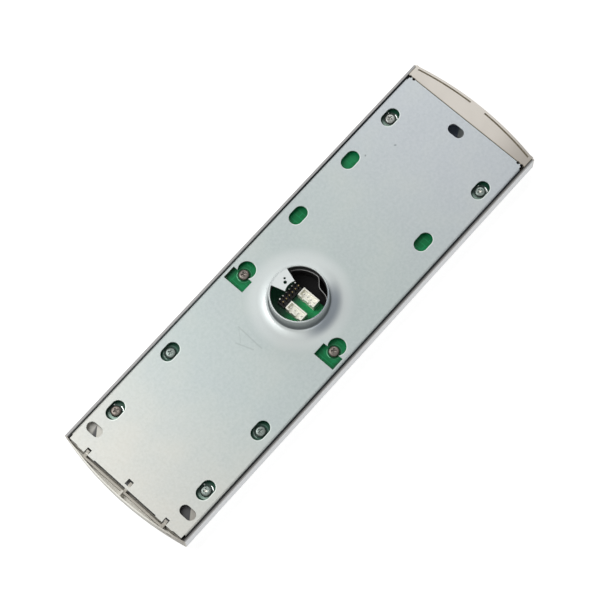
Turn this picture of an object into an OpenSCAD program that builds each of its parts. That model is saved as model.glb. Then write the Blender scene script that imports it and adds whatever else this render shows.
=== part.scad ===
// Landing call panel for a lift: an extruded cover with arched end caps, hung on a
// wall plate whose drawn collar brings the wiring through the wall. Inside are a
// display board, a button board and two sprung call buttons.
// X runs across the panel, Z runs up it and Y points into the wall, so the wall
// plane is y = 0, the front faces -Y and the origin is the centre of the collar.

/* [Cover profile] */
// Width over the two long sides
cover_w = 90; // [88:0.5:94]
// Depth from the wall plane to the front face
cover_depth = 15; // [14.5:0.25:17]
// Thickness of the two side walls
side_wall = 1.35; // [1.2:0.05:1.6]
// Thickness of the front wall behind the inlay
front_wall = 2; // [1.7:0.1:2.3]
// Radius of the two long front edges
edge_r = 3; // [2:0.25:3.25]
// Radius of the inside corners
inside_r = 1.5; // [1:0.1:1.8]
// Length of the profile above the collar's centre
reach_up = 150; // [135:0.5:170]
// Length of the profile below the collar's centre
reach_down = 142.9; // [130:0.1:160]
// Gap that the cover keeps to the wall
rear_gap = 0.3; // [0.2:0.05:0.6]
// Distance of the screw ports from the cover's outer sides
port_edge = 11.1; // [10.5:0.1:12]
// Width of one screw port
port_w = 6; // [5:0.25:6.5]
// Clearance of a board screw in its port
port_fit = 0.05; // [0.03:0.01:0.1]
// Metal left under the slot
port_floor = 1.2; // [0.8:0.1:2]

/* [End caps] */
// Radius of the arched ends
arch_r = 200; // [190:1:230]
// Height of the arched wall at the caps' corners
corner_h = 0.57; // [0.4:0.01:1.2]
// Wall of the moulded caps
cap_wall = 1.35; // [1.2:0.05:1.6]
// Thickness of the shelf beside the wall plate
shelf_t = 1.6; // [1.2:0.1:2.2]
// Width of the two long slits in the shelf
slit_w = 1; // [0.7:0.1:1.3]
// Depth of the two long slits in the shelf
slit_d = 1.1; // [0.6:0.1:1.1]
// Half width of the bridge between the slits
bridge_half = 5.2; // [3:0.2:8]
// Distance of the slits' far ends from the side wall
slit_end = 2.4; // [2:0.1:6]
// Length of the tongues that push into the profile
tongue_l = 8; // [5:0.5:12]
// Thickness of the tongues
tongue_t = 2; // [1.4:0.1:2.4]
// Depth of the open trough in the bottom cap
trough_d = 4.7; // [4:0.1:6]
// Thickness of the wall round the trough
rim_t = 0.8; // [0.7:0.05:1.2]
// Gap between the plate's bottom edge and the ledge in the trough
ledge_gap = 1.2; // [0.8:0.1:1.6]
// Thickness of the ledge in the trough
ledge_t = 1.2; // [0.8:0.1:1.4]
// Width of the rib across the trough
rib_w = 1.2; // [0.8:0.1:2]
// Width of the latch hook
hook_w = 1.6; // [1.4:0.1:2.4]
// Length of the latch hook
hook_l = 2; // [1.6:0.1:2.6]
// Gap between the latch hook and the side of its hole
hook_gap = 0.3; // [0.2:0.05:0.6]
// Thickness of the latch arms
arm_t = 1.5; // [1:0.1:1.8]
// Thickness of the pads behind the lower wall slots
pad_t = 1.1; // [0.8:0.1:1.4]

/* [Wall plate] */
// Thickness of the galvanised sheet
sheet = 1; // [0.8:0.05:1.2]
// Gap between the plate and the side walls
seam = 0.85; // [0.6:0.05:1.2]
// Distance of the plate's top edge from the profile's top end
plate_top = 6.8; // [6:0.1:8]
// Distance of the plate's bottom edge from the profile's lower end
plate_low = 0.3; // [0.1:0.05:1]
// Extra drop of the plate's outer bottom edge
plate_step = 0.5; // [0.3:0.1:0.6]
// Half width of the raised bottom edge
step_half = 23; // [20:0.5:26]
// Depth of the flanges
flange_d = 7; // [5:0.25:7.5]
// Outside radius of the bends
bend_r = 1.5; // [1.25:0.05:1.8]
// Distance of the flanges from the plate's ends
flange_gap = 2.6; // [2.2:0.1:6]
// Diameter of the bend reliefs
relief_d = 2; // [1.6:0.1:2.4]
// Width of a window over a board
window_w = 8.2; // [7.4:0.1:9]
// Length of a window over a board
window_l = 12.3; // [11:0.1:14]
// Diameter of the keyhole's round end
key_d = 10.6; // [9:0.1:11.4]
// Width of the keyhole's square end
key_w = 14; // [12:0.25:14.5]
// Drop of the keyhole's lower edge below its round end's centre
key_drop = 11.6; // [10:0.2:13]
// Drop of the keyhole's square end below its round end's centre
key_neck = 3.3; // [2.5:0.1:4]
// Height of the keyhole's round end above the board screw behind it
key_rise = 2.7; // [2:0.1:3.4]
// Height of the upper sight window above the display's centre
sight_up = 5.5; // [3:0.1:8]
// Drop of the lower sight window below the display's centre
sight_low = 39.1; // [36:0.1:42]
// Drop of the single sight window below the display's centre
sight_drop = 4.5; // [2:0.1:7]
// Distance of the single sight window inside the screw port's line
sight_in = 4.2; // [3:0.1:6]
// Width of a wall screw slot
slot_w = 6.3; // [5.5:0.1:6.8]
// Length of a wall screw slot
slot_l = 10.2; // [9:0.1:11]
// Distance of the single wall slot from the plate's top edge
slot_top = 8.6; // [7:0.1:10]
// Distance of the pair of wall slots from the plate's bottom edge
slot_low = 12.6; // [11:0.1:14]
// Distance of the pair of wall slots from the plate's sides
slot_edge = 7.8; // [7:0.1:9]
// Side of the square latch hole
latch_hole = 3.7; // [3.4:0.1:4]
// Distance of the latch hole from the plate's bottom edge
latch_low = 3.4; // [3:0.1:4]
// Width of the notches in the bottom edge
notch_w = 2.9; // [2.8:0.1:3.4]
// Depth of the notches in the bottom edge
notch_d = 3.5; // [3:0.1:4]
// Distance of the notches from the plate's sides
notch_edge = 13.5; // [12:0.1:15]

/* [Collar] */
// Inside radius of the drawn collar
collar_r = 16; // [15.6:0.1:16.6]
// Height of the collar above the wall plane
collar_h = 12; // [10:0.25:14]
// Radius of the draw at the collar's foot
draw_r = 2.6; // [1.6:0.1:3.2]
// Reach of the cable tab from the collar wall
tab_reach = 9.3; // [8:0.1:9.6]
// Half width of the cable tab at its root
tab_root = 6.9; // [6:0.1:7.5]
// Half width of the cable tab at its tip
tab_tip = 4; // [3:0.1:4.6]
// Radius of the hollow in the tab's tip
tab_hollow = 8.5; // [6:0.25:12]
// Diameter of the tab's small hole
tab_hole_d = 1.4; // [1:0.1:1.8]
// Distance of the tab's small hole from the tab's tip
tab_hole_in = 5.1; // [4.6:0.1:5.6]
// Diameter of the tab's large hole
tab_eye_d = 2; // [1.6:0.1:2.2]
// Distance of the tab's large hole from the tab's tip
tab_eye_in = 3.3; // [3:0.1:3.6]
// How far the tab lies below the rim
tab_dip = 0.1; // [0.05:0.05:0.5]
// Height of the insulating liner's edge above the wall plane
liner_h = 6; // [4:0.25:8]
// Thickness of the insulating liner
liner_t = 0.4; // [0.3:0.05:0.6]
// How far the liner's loose end bulges away from the collar
liner_bulge = 3.2; // [2:0.1:3.4]

/* [Front] */
// Thickness of the brushed inlay
inlay_t = 1; // [0.8:0.1:1.2]
// Flat border between the rounded edge and the inlay
border_flat = 0.5; // [0.4:0.1:2]
// Gap between the window's flange and the screw ports
window_side = 1.9; // [1:0.1:4]
// Height of the display opening
display_h = 60; // [56:0.5:64]
// Distance of the display's centre from the profile's top end
display_top = 74; // [70:0.5:78]
// Overlap of the window's flange behind the front wall
window_lip = 2; // [1.5:0.1:2.4]
// Thickness of the window's flange
window_flange = 1.2; // [1:0.1:1.4]
// Clearance round pieces set into the front
front_fit = 0.2; // [0.15:0.05:0.3]

/* [Boards] */
// Distance of the boards' rear face from the wall plane
board_drop = 3.6; // [3.5:0.1:4]
// Thickness of the boards
board_t = 1.6; // [1.2:0.1:1.8]
// Gap between a board and the plate's flanges
board_gap = 0.7; // [0.5:0.1:1.6]
// Bottom edge of the display board
display_board_lo = 24; // [23.8:0.1:26]
// Distance of the display board's top edge from the profile's top end
board_top = 23; // [20:0.5:26]
// Top edge of the button board
button_board_hi = 8; // [7.5:0.1:8.2]
// Distance of the button board's bottom edge from the profile's lower end
board_low = 18.9; // [17:0.1:22]
// Width of one display module
led_w = 25; // [24:0.25:26.5]
// Height of one display module
led_h = 38; // [36:0.5:44]
// Pitch of the dots on a display module
dot_pitch = 4.8; // [4.4:0.1:4.9]
// Diameter of a dot
dot_d = 3; // [2.4:0.1:3.6]
// Shank diameter of the board screws
screw_d = 2.4; // [2:0.1:2.4]
// Head diameter of the board screws
head_d = 6.4; // [5.6:0.1:6.8]
// Head height of the board screws
head_h = 2; // [1.6:0.1:2.2]
// Room in the port under the tip of a board screw
screw_room = 1.2; // [0.6:0.1:2]
// Distance of the upper screws from the display board's top edge
screw_top = 10.7; // [9:0.1:12]
// Distance of the next screws from the button board's top edge
screw_next = 17.2; // [16:0.1:18]
// Drop of the middle screws below the collar's centre
screw_mid = 70; // [66:0.5:74]
// Distance of the lowest screws from the button board's bottom edge
screw_low = 9.6; // [8:0.1:11]
// Width of a driver chip
driver_w = 10; // [8:0.5:11]
// Height of a driver chip
driver_l = 4; // [3.5:0.1:5]
// Distance of the driver chips from the display board's bottom edge
driver_up = 14; // [11:0.5:15]
// Side of the controller chip
chip_w = 7; // [5:0.5:7.5]
// Thickness of the chips
chip_t = 1.5; // [1.2:0.1:1.8]

/* [Connectors] */
// Pitch of the link header
link_pitch = 2.54; // [2.5:0.02:2.56]
// Rows of pins along the link header
link_rows = 6; // [4:1:6]
// Position of the link header across the panel
link_x = 6.1; // [5.8:0.1:6.6]
// Height of the link header
link_z = -1.5; // [-2:0.1:-1]
// Height of the link header's block
link_h = 2.5; // [2:0.1:3]
// Height of the pins above the board
link_pin_h = 8.5; // [7:0.25:9]
// Side of a square pin
pin_w = 0.64; // [0.5:0.02:0.66]
// Length of a pin's tail through the board
pin_tail = 1.2; // [0.8:0.1:1.6]
// Length of a bus header
bus_l = 11.6; // [11.2:0.1:12]
// Width of a bus header
bus_w = 5.4; // [5:0.1:5.8]
// Height of a bus header
bus_h = 6.6; // [6:0.1:7]
// Depth of a bus header's cavity
bus_cavity = 2.4; // [1.8:0.1:3.4]
// Wall of a bus header
bus_wall = 0.8; // [0.6:0.05:0.9]
// Pin pitch of a bus header
bus_pitch = 2.5; // [2.4:0.02:2.54]
// Pins in a bus header
bus_pins_n = 4; // [3:1:4]
// Position of the bus headers across the panel
bus_x = -3.65; // [-4:0.05:-3.4]
// Height of the upper bus header
bus_up = 3.9; // [3.8:0.05:4.2]
// Drop of the lower bus header
bus_down = 6.6; // [6.4:0.05:7]

/* [Call buttons] */
// Drop of the up button below the collar's centre
up_down = 39.6; // [39:0.1:40.5]
// Drop of the down button below the collar's centre
down_down = 92.2; // [91.5:0.1:93]
// Radius of a button's face
face_r = 15.2; // [14.8:0.1:15.4]
// Thickness of the steel face
face_t = 0.8; // [0.6:0.05:1]
// Depth of the steel face's rim
face_rim = 2.6; // [2.2:0.1:2.8]
// Hollow of the finger dish
dish = 0.4; // [0.2:0.05:0.45]
// How far the face stands out of the front
face_proud = 0.6; // [0.4:0.05:1]
// Clearance round a moving button
slide_gap = 0.3; // [0.2:0.05:0.4]
// Radial width of the halo ring
halo_w = 3.5; // [3:0.1:3.6]
// How far the halo ring stands out of the front
halo_proud = 0.2; // [0.1:0.05:0.4]
// Overlap of the halo's flange behind the front wall
halo_lip = 1.6; // [1.4:0.1:1.8]
// Thickness of the halo's flange
halo_flange = 1; // [0.8:0.05:1.1]
// Overlap of the carrier's stop behind the halo ring
stop_lip = 1.5; // [1.2:0.1:1.6]
// Thickness of the carrier's stop
stop_t = 1; // [0.8:0.1:1.2]
// Wall of the carrier
carrier_wall = 1.5; // [1.2:0.1:1.8]
// Radius of the carrier's stem
stem_r = 4; // [3:0.1:4.2]
// Gap between the stem and the switch
stem_gap = 0.2; // [0.15:0.05:0.3]
// Wall of the guide cup
cup_wall = 1.3; // [1.1:0.05:1.5]
// Floor of the guide cup
cup_floor = 1; // [0.8:0.1:1.1]
// Side of a switch body
switch_w = 6; // [5.6:0.1:6.2]
// Height of a switch body
switch_h = 3.5; // [3.2:0.1:3.6]
// Radius of a switch plunger
plunger_r = 1.75; // [1.5:0.05:1.9]
// Height of a plunger above its switch
plunger_out = 1.4; // [1.3:0.05:1.5]
// Running clearance of a plunger
plunger_fit = 0.1; // [0.06:0.02:0.14]
// Travel of a call button
travel = 1; // [0.6:0.05:1]
// Wire of a return spring
spring_wire = 0.9; // [0.6:0.05:1]
// Mean radius of a return spring
spring_r = 5.8; // [5.6:0.05:6.2]
// Turns of a return spring
spring_turns = 4; // [3:0.5:5]

/* [Hidden] */
$fn = 96;

// Planes along Y, from the front to the wall
front_y = -cover_depth;
rear_y = -rear_gap;
wall_out_y = front_y + inlay_t;
wall_in_y = wall_out_y + front_wall;
window_rear_y = wall_in_y + window_flange;
led_gap = 0.4;
led_front_y = window_rear_y + led_gap;
board_rear_y = -board_drop;
port_slot = screw_d + 2 * port_fit;
screw_l = board_rear_y - wall_in_y - port_floor - screw_room;
board_front_y = board_rear_y - board_t;
face_front_y = front_y - face_proud;
face_back_y = face_front_y + face_t;
carrier_y = face_front_y + face_rim;
halo_rear_y = wall_in_y + halo_flange;
stop_y = halo_rear_y + slide_gap;
switch_y = board_front_y - switch_h;
plunger_y = switch_y - plunger_out;
stem_y = plunger_y - stem_gap;
cup_floor_y = board_front_y - cup_floor;
shelf_y = rear_y - shelf_t;
trough_y = rear_y - trough_d;
// Places across the panel
cover_half = cover_w / 2;
cavity_half = cover_half - side_wall;
plate_half = cavity_half - seam;
flange_half = plate_half - sheet;
board_half = flange_half - board_gap;
inlay_half = cover_half - edge_r - border_flat;
port_x = cover_half - port_edge;
slot_x = plate_half - slot_edge;
notch_x = plate_half - notch_edge;
display_w = 2 * (port_x - port_w / 2 - window_lip - window_side);
// Places along the panel
crown = corner_h + arch_r - sqrt(arch_r * arch_r - cover_half * cover_half);
crown_top = reach_up + crown;
crown_bottom = -reach_down - crown;
plate_up = reach_up - plate_top;
plate_down = reach_down - plate_low;
plate_edge = plate_down + plate_step;
slot_up = plate_up - slot_top;
slot_down = plate_down - slot_low;
latch_down = plate_down - latch_low;
display_z = reach_up - display_top;
display_board_hi = reach_up - board_top;
button_board_lo = reach_down - board_low;
baffle_gap = 0.5;
baffle_lo = button_board_hi + baffle_gap;
baffle_hi = display_board_lo - baffle_gap;
baffle_lip = 0.9;
baffle_y = board_rear_y + baffle_lip;
baffle_wall = 1.5;
baffle_half = port_x - port_w / 2 - baffle_gap;
baffle_foot = max(bus_up + bus_w / 2, link_z + link_rows * link_pitch / 2) + slide_gap;
// Collar
collar_out = collar_r + sheet;
foot_r = collar_out + draw_r;
tab_x = collar_r - tab_reach;
liner_fit = 0.1;
liner_out = collar_r - liner_fit;
liner_lo = baffle_y + baffle_gap;
liner_start_angle = 30;
liner_leave_angle = 90;
liner_end_angle = 150;
liner_angle_step = 3;
// Board screws and windows, as heights along the panel
upper_screw_z = display_board_hi - screw_top;
next_screw_z = button_board_hi - screw_next;
low_screw_z = screw_low - button_board_lo;
lower_screws = [next_screw_z, -screw_mid, low_screw_z];
window_z = [upper_screw_z, -screw_mid, low_screw_z];
sight_places = [[port_x, display_z + sight_up], [port_x, display_z - sight_low],
    [sight_in - port_x, display_z - sight_drop]];
key_z = next_screw_z + key_rise;
// Buttons
hole_r = face_r + slide_gap + halo_w + front_fit;
halo_in = face_r + slide_gap;
halo_out = halo_in + halo_w;
halo_lip_r = halo_out + halo_lip;
cup_out = halo_lip_r + cup_wall / 2;
cup_in = cup_out - cup_wall;
stop_r = halo_in + stop_lip;
led_room = 0.4;
led_r = (cup_in + stop_r) / 2 - led_room;
led_size = [3, 1.6, 1];
chip_x = port_x - port_w / 2 - baffle_gap - chip_w / 2;
pin_hole_d = pin_w * sqrt(2) + front_fit / 2;
dish_steps = 12;
dot_cols = 5;
dot_rows = 7;
end_gap = 0.05;
over = 1;
arch_fn = 720;

// Helpers
// A plan shape drawn in X and Z, thick from y0 to y1
module slab(y0, y1) {
    translate([0, y1, 0]) rotate([90, 0, 0]) linear_extrude(y1 - y0) children();
}

// A section drawn as radius and Y, turned round an axis through x and z
module turned(x, z) {
    translate([x, 0, z]) rotate([-90, 0, 0]) rotate_extrude() children();
}

// A round bar along Y
module bar(x, z, y0, y1, r) {
    translate([x, y0, z]) rotate([-90, 0, 0]) cylinder(h = y1 - y0, r = r);
}

// A box between two corners
module block(lo, hi) {
    translate(lo) cube(hi - lo);
}

// A ring's section from r0 to r1 and from y0 to y1
module ring_section(r0, r1, y0, y1) {
    translate([r0, y0]) square([r1 - r0, y1 - y0]);
}

// A rectangle whose two front corners are round
module front_rounded(half, front, back, r) {
    translate([-half, front + r]) square([2 * half, back - front - r]);
    translate([r - half, front]) square([2 * (half - r), r]);
    for (s = [-1, 1]) translate([s * (half - r), front + r]) circle(r);
}

// A rectangle with four round corners, centred
module round_rect(w, h, r) {
    square([w - 2 * r, h], center = true);
    square([w, h - 2 * r], center = true);
    for (s = [-1, 1]) for (t = [-1, 1])
        translate([s * (w / 2 - r), t * (h / 2 - r)]) circle(r);
}

// An upright slot, l long over its round ends
module obround(w, l) {
    square([w, l - w], center = true);
    for (s = [-1, 1]) translate([0, s * (l - w) / 2]) circle(d = w);
}

// Cover
module port_section() {
    difference() {
        translate([-port_w / 2, wall_in_y - front_wall / 2])
            square([port_w, board_front_y - wall_in_y + front_wall / 2]);
        translate([-port_slot / 2, wall_in_y + port_floor])
            square([port_slot, board_front_y - wall_in_y]);
    }
}

module cover_section() {
    difference() {
        front_rounded(cover_half, front_y, rear_y, edge_r);
        front_rounded(cavity_half, wall_in_y, rear_y + over, inside_r);
        translate([-inlay_half - front_fit, front_y - over])
            square([2 * (inlay_half + front_fit), inlay_t + over]);
    }
    for (s = [-1, 1]) translate([s * port_x, 0]) port_section();
}

module cover_profile() {
    color("gainsboro") difference() {
        translate([0, 0, -reach_down]) linear_extrude(reach_down + reach_up) cover_section();
        slab(front_y - over, wall_in_y + over)
            translate([0, display_z]) round_rect(display_w, display_h, edge_r);
        for (z = [-up_down, -down_down])
            bar(0, z, front_y - over, wall_in_y + over, hole_r);
    }
}

// The solid of an arched end, every face moved in by inset
module arch_solid(crown, up, inset) {
    r = arch_r - inset;
    round_r = edge_r - inset / 2;
    intersection() {
        translate([0, 0, crown - up * arch_r / 2]) linear_extrude(arch_r, center = true)
            front_rounded(cover_half - inset, front_y + inset, rear_y, round_r);
        turned(0, crown - up * arch_r, $fn = arch_fn) {
            ring_section(0, r - round_r, front_y + inset, rear_y);
            ring_section(0, r, front_y + inset + round_r, rear_y);
            translate([r - round_r, front_y + inset + round_r]) circle(round_r);
        }
    }
}

// Tongues along the side walls and pins in the ends of the screw ports
module cap_fixings(from, to) {
    tongue_lo = wall_in_y + inside_r + front_fit;
    tongue_hi = -flange_d - baffle_gap;
    for (s = [-1, 1]) {
        block([s * (cavity_half - front_fit - tongue_t / 2) - tongue_t / 2, tongue_lo, from],
            [s * (cavity_half - front_fit - tongue_t / 2) + tongue_t / 2, tongue_hi, to]);
        block([s * port_x - port_slot / 2 + front_fit / 2, wall_in_y + port_floor + front_fit, from],
            [s * port_x + port_slot / 2 - front_fit / 2, board_front_y - front_fit, to]);
    }
}

module top_cap() {
    shelf_lo = plate_up + baffle_gap;
    slit_r = arch_r - cap_wall;
    slit_x = cavity_half - slit_end;
    color("antiquewhite") difference() {
        union() {
            intersection() {
                arch_solid(crown_top, 1, 0);
                block([-cover_half, front_y, reach_up], [cover_half, rear_y, crown_top]);
            }
            block([front_fit - cavity_half, shelf_y, shelf_lo],
                [cavity_half - front_fit, rear_y, reach_up + cap_wall]);
            cap_fixings(reach_up - tongue_l, reach_up + cap_wall / 2);
        }
        intersection() {
            arch_solid(crown_top, 1, cap_wall);
            block([-cover_half, front_y, reach_up + cap_wall], [cover_half, shelf_y, crown_top]);
        }
        intersection() {
            difference() {
                bar(0, crown_top - arch_r, rear_y - slit_d, over, slit_r, $fn = arch_fn);
                bar(0, crown_top - arch_r, rear_y - slit_d, over, slit_r - slit_w, $fn = arch_fn);
            }
            for (s = [-1, 1])
                block([s * (slit_x + bridge_half) / 2 - (slit_x - bridge_half) / 2, shelf_y - over,
                    reach_up - crown],
                    [s * (slit_x + bridge_half) / 2 + (slit_x - bridge_half) / 2, over, crown_top]);
        }
        for (s = [-1, 1]) for (x = [flange_half - flange_gap, flange_half])
            bar(s * x, plate_up, shelf_y - over, over, relief_d / 2);
    }
}

// A springy arm of the bottom cap with an upright tip
module latch_arm(x, w, root_z, tip_z, tip_l, tip_y) {
    arm_y = -sheet - baffle_gap;
    block([x - w / 2, arm_y - arm_t, root_z], [x + w / 2, arm_y, tip_z]);
    block([x - w / 2, arm_y - arm_t, tip_z - tip_l], [x + w / 2, tip_y, tip_z]);
}

module bottom_cap() {
    inner_crown = crown_bottom + rim_t;
    ledge_hi = -plate_edge - ledge_gap;
    ledge_lo = ledge_hi - ledge_t;
    hook_x = hook_gap - (latch_hole - hook_w) / 2;
    hook_tip = hook_l / 2 - latch_down;
    notch_tip = notch_d - plate_edge - 2 * baffle_gap;
    pad_in = notch_x + notch_w / 2;
    pad_w = flange_half - board_gap - pad_in;
    pad_end = -button_board_lo - slide_gap;
    pad_lo = board_front_y + slide_gap;
    pad_root = -reach_down - cap_wall / 2;
    color("antiquewhite") {
        difference() {
            union() {
                intersection() {
                    arch_solid(crown_bottom, -1, 0);
                    block([-cover_half, front_y, crown_bottom], [cover_half, rear_y, -reach_down]);
                }
                cap_fixings(-reach_down - cap_wall / 2, tongue_l - reach_down);
            }
            intersection() {
                arch_solid(crown_bottom, -1, rim_t);
                block([-cover_half, trough_y, crown_bottom], [cover_half, over, over - reach_down]);
            }
        }
        intersection() {
            arch_solid(crown_bottom, -1, rim_t / 2);
            union() {
                block([-notch_x, trough_y - over, ledge_lo], [notch_x, rear_y - sheet, ledge_hi]);
                block([-rib_w / 2, trough_y - over, inner_crown - rim_t / 2],
                    [rib_w / 2, rear_y - sheet / 2, ledge_hi]);
            }
        }
        latch_arm(hook_x, hook_w, ledge_lo, hook_tip, hook_l, rear_y - sheet / 2);
        for (s = [-1, 1]) {
            latch_arm(s * notch_x, notch_w - 2 * baffle_gap, ledge_lo, notch_tip, arm_t, rear_y);
            translate([s * (pad_in + pad_w / 2) - pad_w / 2, 0, 0]) {
                block([0, pad_lo, pad_root], [pad_w, pad_lo + pad_t, pad_end]);
                block([0, trough_y - over, pad_root], [pad_w, pad_lo + pad_t, -reach_down]);
            }
        }
    }
}

// Wall plate
module tray_section() {
    difference() {
        mirror([0, 1]) front_rounded(plate_half, 0, flange_d, bend_r);
        mirror([0, 1]) front_rounded(flange_half, sheet, flange_d + over, bend_r - sheet);
    }
}

module plate_outline() {
    chamfer = plate_half - notch_x - notch_w * 2;
    translate([-flange_half, -plate_down]) square([2 * flange_half, plate_down + plate_up]);
    for (s = [-1, 1])
        polygon([[s * step_half, -plate_down + over], [s * step_half, -plate_edge],
            [s * (plate_half - chamfer), -plate_edge], [s * flange_half, -plate_edge + chamfer / 2],
            [s * flange_half, -plate_down + over + chamfer]]);
}

module plate_holes() {
    for (s = [-1, 1]) {
        for (z = window_z) translate([s * port_x, z]) obround(window_w, window_l);
        translate([s * port_x, key_z]) {
            circle(d = key_d);
            translate([-key_w / 2, -key_drop]) square([key_w, key_drop - key_neck]);
        }
        translate([s * slot_x, -slot_down]) rotate(90) obround(slot_w, slot_l);
        translate([s * notch_x - notch_w / 2, -plate_edge - over])
            square([notch_w, notch_d + over]);
        translate([s * (flange_half - flange_gap), plate_up]) circle(d = relief_d);
        translate([s * flange_half, plate_up]) circle(d = relief_d);
    }
    for (p = sight_places) translate(p) obround(window_w, window_l);
    translate([0, slot_up]) rotate(90) obround(slot_w, slot_l);
    translate([0, -latch_down]) square(latch_hole, center = true);
    circle(foot_r);
}

// Sheet turned up through a quarter circle into the collar, with a round rim
module collar_section() {
    difference() {
        intersection() {
            translate([foot_r, draw_r]) circle(draw_r + sheet);
            ring_section(collar_r, foot_r, -sheet, draw_r);
        }
        translate([foot_r, draw_r]) circle(draw_r);
    }
    ring_section(foot_r, foot_r + sheet, -sheet, 0);
    ring_section(collar_r, collar_out, draw_r, collar_h - sheet / 2);
    translate([collar_r + sheet / 2, collar_h - sheet / 2]) circle(sheet / 2);
}

// Tab left standing into the collar's mouth to tie a cable to
module cable_tab() {
    slab(collar_h - sheet - tab_dip, collar_h - tab_dip) difference() {
        intersection() {
            polygon([[tab_x, -tab_tip], [collar_r, -tab_root], [collar_r + sheet, -tab_root],
                [collar_r + sheet, tab_root], [collar_r, tab_root], [tab_x, tab_tip]]);
            circle(collar_r + sheet / 2);
        }
        translate([tab_x + sheet - tab_hollow, 0]) circle(tab_hollow);
        translate([tab_x + tab_hole_in, tab_hole_d]) circle(d = tab_hole_d);
        translate([tab_x + tab_eye_in, -tab_dip]) circle(d = tab_eye_d);
    }
}

module back_plate() {
    color("lightsteelblue") {
        difference() {
            union() {
                translate([0, 0, flange_gap - plate_down])
                    linear_extrude(plate_down + plate_up - 2 * flange_gap) tray_section();
                slab(-sheet, 0) plate_outline();
                block([-baffle_half, -flange_d, plate_up - sheet], [baffle_half, 0, plate_up]);
            }
            slab(-sheet - over, over) plate_holes();
        }
        turned(0, 0) collar_section();
        cable_tab();
    }
}

// Path of the liner: along the collar wall, then a loose end that bulges inwards
function liner_way(a) =
    max(0, (a - liner_leave_angle) / (liner_end_angle - liner_leave_angle));
function liner_r(a) = liner_bulge * pow(sin(180 * pow(liner_way(a), 0.8)), 2);

module collar_liner() {
    angles = [for (a = [liner_start_angle : liner_angle_step : liner_end_angle]) a];
    outer = [for (a = angles) (liner_out - liner_r(a)) * [cos(a), sin(a)]];
    inner = [for (i = [len(angles) - 1 : -1 : 0])
        (liner_out - liner_t - liner_r(angles[i])) * [cos(angles[i]), sin(angles[i])]];
    color("black") slab(liner_lo, liner_h) polygon(concat(outer, inner));
}

// Front
module front_inlay() {
    color("silver") slab(front_y, wall_out_y) difference() {
        translate([-inlay_half, end_gap - reach_down])
            square([2 * inlay_half, reach_down + reach_up - 2 * end_gap]);
        translate([0, display_z]) round_rect(display_w, display_h, edge_r);
        for (z = [-up_down, -down_down]) translate([0, z]) circle(hole_r);
    }
}

module display_window() {
    lip_w = display_w + 2 * window_lip;
    lip_h = display_h + 2 * window_lip;
    color("black") translate([0, 0, display_z]) {
        slab(front_y, wall_in_y)
            round_rect(display_w - 2 * front_fit, display_h - 2 * front_fit, edge_r - front_fit);
        slab(wall_in_y, window_rear_y) round_rect(lip_w, lip_h, edge_r);
    }
}

// Boards
module board_plan(lo, hi, screws) {
    difference() {
        translate([0, (lo + hi) / 2]) round_rect(2 * board_half, hi - lo, edge_r / 2);
        for (s = [-1, 1]) for (z = screws)
            translate([s * port_x, z]) circle(d = screw_d + 4 * front_fit);
    }
}

module display_board() {
    color("seagreen") slab(board_front_y, board_rear_y)
        board_plan(display_board_lo, display_board_hi, [upper_screw_z]);
}

module button_board() {
    color("seagreen") slab(board_front_y, board_rear_y) difference() {
        board_plan(-button_board_lo, button_board_hi, lower_screws);
        link_places() circle(d = pin_hole_d);
        bus_places() circle(d = pin_hole_d);
    }
}

module led_module(x) {
    color("dimgray") translate([x, 0, display_z]) difference() {
        slab(led_front_y, board_front_y) square([led_w - 2 * front_fit, led_h], center = true);
        for (i = [0 : dot_cols - 1]) for (j = [0 : dot_rows - 1])
            bar((i - (dot_cols - 1) / 2) * dot_pitch, (j - (dot_rows - 1) / 2) * dot_pitch,
                led_front_y - over, led_front_y + led_gap, dot_d / 2);
    }
}

module led_module_left() { led_module(-led_w / 2); }
module led_module_right() { led_module(led_w / 2); }

// A flat chip package on a board's front face
module chip(x, z, w, h) {
    slab(board_front_y - chip_t, board_front_y) translate([x, z]) square([w, h], center = true);
}

module driver_chips() {
    color("black") for (s = [-1, 1])
        chip(s * led_w / 2, display_board_lo + driver_up, driver_w, driver_l);
}

module controller_chip() {
    color("black") chip(chip_x, -(up_down + down_down) / 2, chip_w, chip_w);
}

// Black moulding that fills the space between the boards and laps over their edges
module light_baffle() {
    bay = (2 * baffle_half - 4 * baffle_wall) / 3;
    color("black") {
        difference() {
            block([-baffle_half, wall_in_y, baffle_lo], [baffle_half, baffle_y, baffle_hi]);
            for (i = [-1, 0, 1])
                translate([i * (bay + baffle_wall), 0, 0])
                    block([-bay / 2, wall_in_y - over, baffle_lo + baffle_wall],
                        [bay / 2, baffle_y - baffle_wall, baffle_hi - baffle_wall]);
        }
        block([-bay, board_rear_y, baffle_hi - baffle_wall],
            [bay, baffle_y, display_board_lo + baffle_wall]);
        block([-bay, board_rear_y, baffle_foot], [bay, baffle_y, baffle_lo + baffle_wall]);
    }
}

// Connectors on the button board's rear face
module link_places() {
    for (i = [0 : link_rows - 1]) for (s = [-1, 1])
        translate([link_x + s * link_pitch / 2, link_z + (i - (link_rows - 1) / 2) * link_pitch])
            children();
}

module bus_places() {
    for (z = [bus_up, -bus_down]) for (i = [0 : bus_pins_n - 1])
        translate([bus_x + (i - (bus_pins_n - 1) / 2) * bus_pitch, z]) children();
}

module link_header() {
    color("black") slab(board_rear_y, board_rear_y + link_h) difference() {
        translate([link_x, link_z]) square([2 * link_pitch, link_rows * link_pitch], center = true);
        link_places() square(pin_w + front_fit / 2, center = true);
    }
}

module link_pins() {
    color("gold") slab(board_front_y - pin_tail, board_rear_y + link_pin_h)
        link_places() square(pin_w, center = true);
}

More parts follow.
